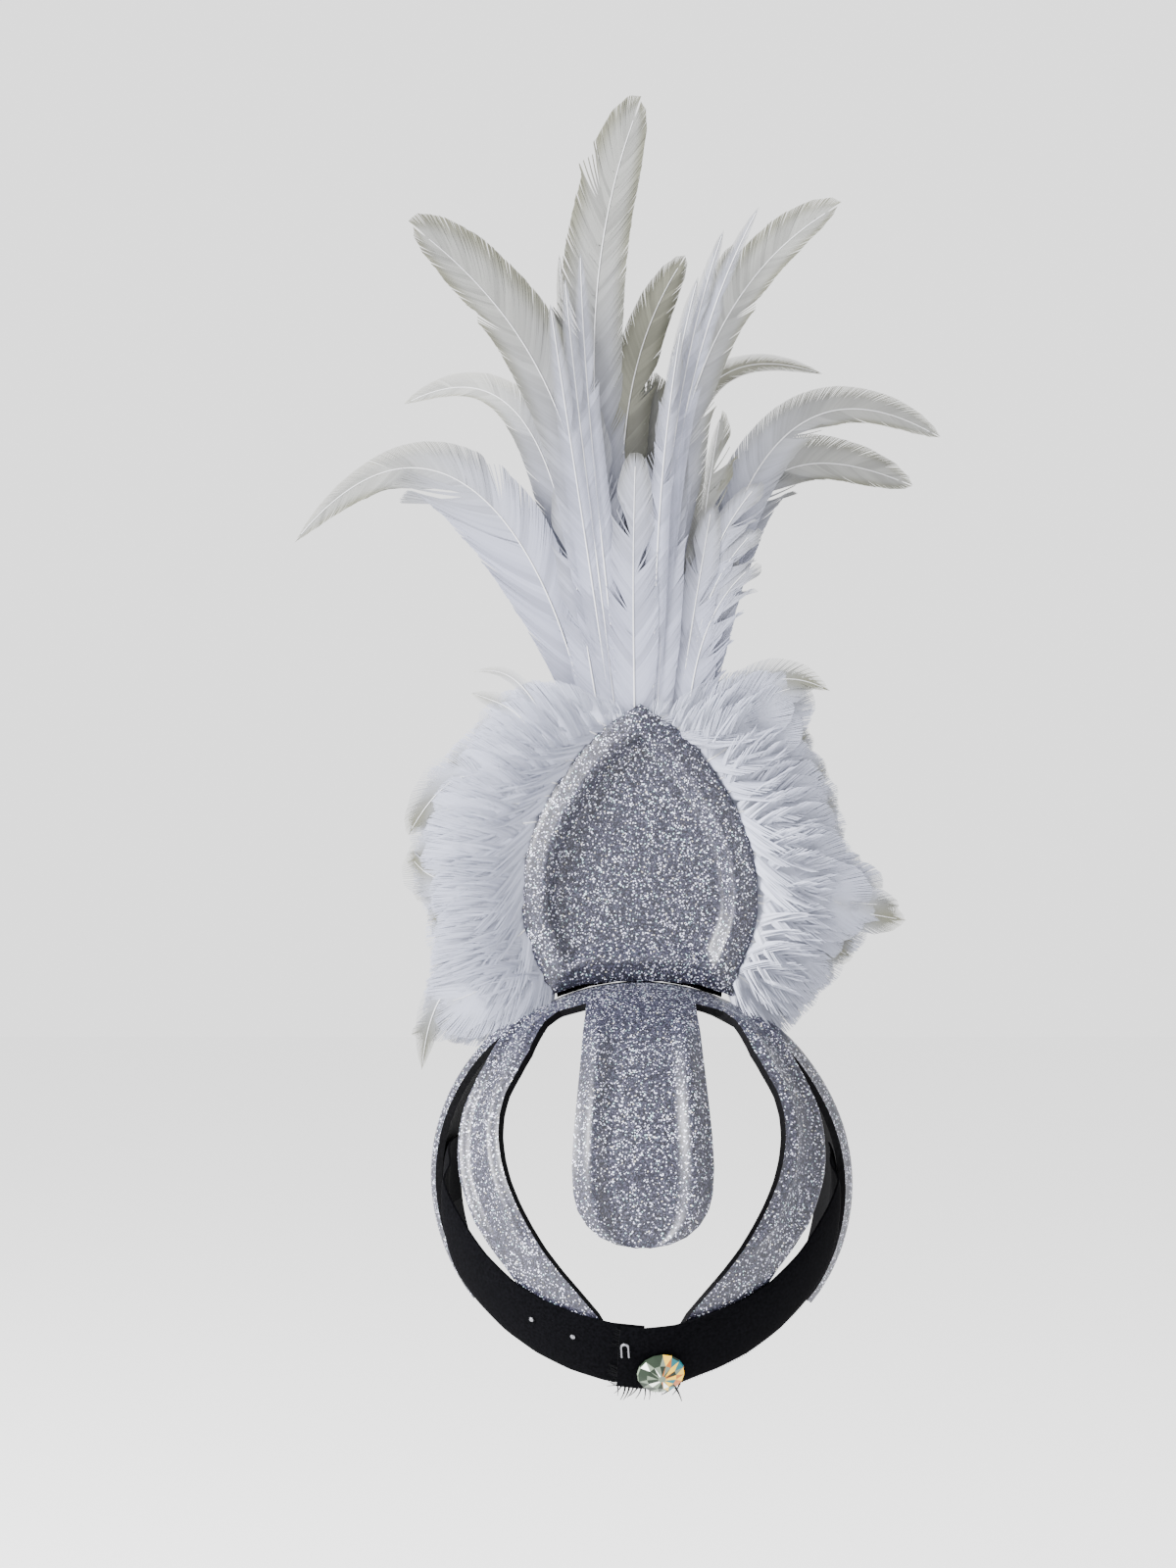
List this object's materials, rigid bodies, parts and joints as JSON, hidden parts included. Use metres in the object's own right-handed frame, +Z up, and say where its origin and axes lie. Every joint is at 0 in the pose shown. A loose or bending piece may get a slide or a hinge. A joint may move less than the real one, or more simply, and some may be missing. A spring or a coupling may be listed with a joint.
{
  "type": "showgirl feather headdress",
  "caption": "Showgirl headdress: glitter foam cap frame with a spade crest plate, tall white cock feathers, a fluffy ruff and a velvet strap with a crystal button.",
  "frame": {"origin": "inside of the crown's top, where the cap frame sits on the head", "axes": "+Z up along the tall feathers, +X to the right as seen from the strap's closure side, which faces -Y"},
  "size_m": [0.2855, 0.1539, 0.5344],
  "materials": {
    "glitter": "silver glitter cloth on black foam",
    "black_foam": "matte black foam",
    "velvet": "black stretch velvet",
    "feather": "white cock feather, matte with a soft sheen",
    "steel": "small bright hook and eyes",
    "crystal": "faceted crystal with a rainbow coating"
  },
  "bodies": {
    "root": {"crown_frame": "glitter", "crest_plate": "glitter", "crest_backing": "black_foam", "strap_left": "velvet", "strap_right": "velvet", "strap_hook": "steel", "strap_eye_1": "steel", "strap_eye_2": "steel", "crystal_button": "crystal", "plume_upper_left": "feather", "plume_lean_right": "feather", "plume_top": "feather", "plume_outer_right": "feather", "plume_droop_left": "feather", "plume_spike_2": "feather", "plume_split_right": "feather", "plume_spike_1": "feather", "plume_curl_middle": "feather", "plume_arch_right": "feather", "plume_mid_left": "feather", "plume_middle": "feather", "plume_low_right": "feather", "plume_arch_thin": "feather", "ruff_left": "feather", "ruff_right": "feather"}
  },
  "joints": []
}
